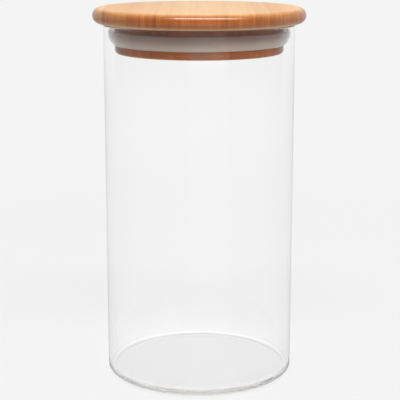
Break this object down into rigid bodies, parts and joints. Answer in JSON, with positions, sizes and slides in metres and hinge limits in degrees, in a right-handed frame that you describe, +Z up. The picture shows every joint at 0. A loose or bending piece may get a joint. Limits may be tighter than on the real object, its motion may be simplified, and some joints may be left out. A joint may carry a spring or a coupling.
{
  "type": "lidded glass canister",
  "caption": "Straight-sided clear glass storage canister with a round-edged overhanging bamboo lid, whose plug carries a silicone lip seal that bears on the inside of the mouth.",
  "frame": {"origin": "centre of the jar's foot, on the surface that it stands on", "axes": "+Z up along the jar's axis; the strips of the cap run along Y and those of the plug along X"},
  "size_m": [0.1114, 0.1114, 0.1962],
  "materials": {
    "glass": "clear, fire-polished",
    "silicone": "translucent white, satin",
    "bamboo": "fine-sanded, clear satin lacquer"
  },
  "bodies": {
    "jar": {"glass_jar": "glass"},
    "seal": {"seal_ring": "silicone"},
    "lid": {"cap_strip_01": "bamboo", "cap_strip_02": "bamboo", "cap_strip_03": "bamboo", "cap_strip_04": "bamboo", "cap_strip_05": "bamboo", "cap_strip_06": "bamboo", "cap_strip_07": "bamboo", "cap_strip_08": "bamboo", "cap_strip_09": "bamboo", "cap_strip_10": "bamboo", "cap_strip_11": "bamboo", "cap_strip_12": "bamboo", "cap_strip_13": "bamboo", "cap_strip_14": "bamboo", "cap_strip_15": "bamboo", "cap_strip_16": "bamboo", "plug_strip_01": "bamboo", "plug_strip_02": "bamboo", "plug_strip_03": "bamboo", "plug_strip_04": "bamboo", "plug_strip_05": "bamboo", "plug_strip_06": "bamboo", "plug_strip_07": "bamboo", "plug_strip_08": "bamboo", "plug_strip_09": "bamboo", "plug_strip_10": "bamboo", "plug_strip_11": "bamboo", "plug_strip_12": "bamboo", "plug_strip_13": "bamboo"}
  },
  "joints": [
    {"name": "lid_lift", "type": "slide", "parent": "jar", "child": "seal", "axis": [0, 0, 1], "range_m": [0, 0.12]},
    {"name": "lid_turn", "type": "hinge", "parent": "seal", "child": "lid", "pos_m": [0, 0, 0.1842], "axis": [0, 0, 1], "continuous": true}
  ]
}
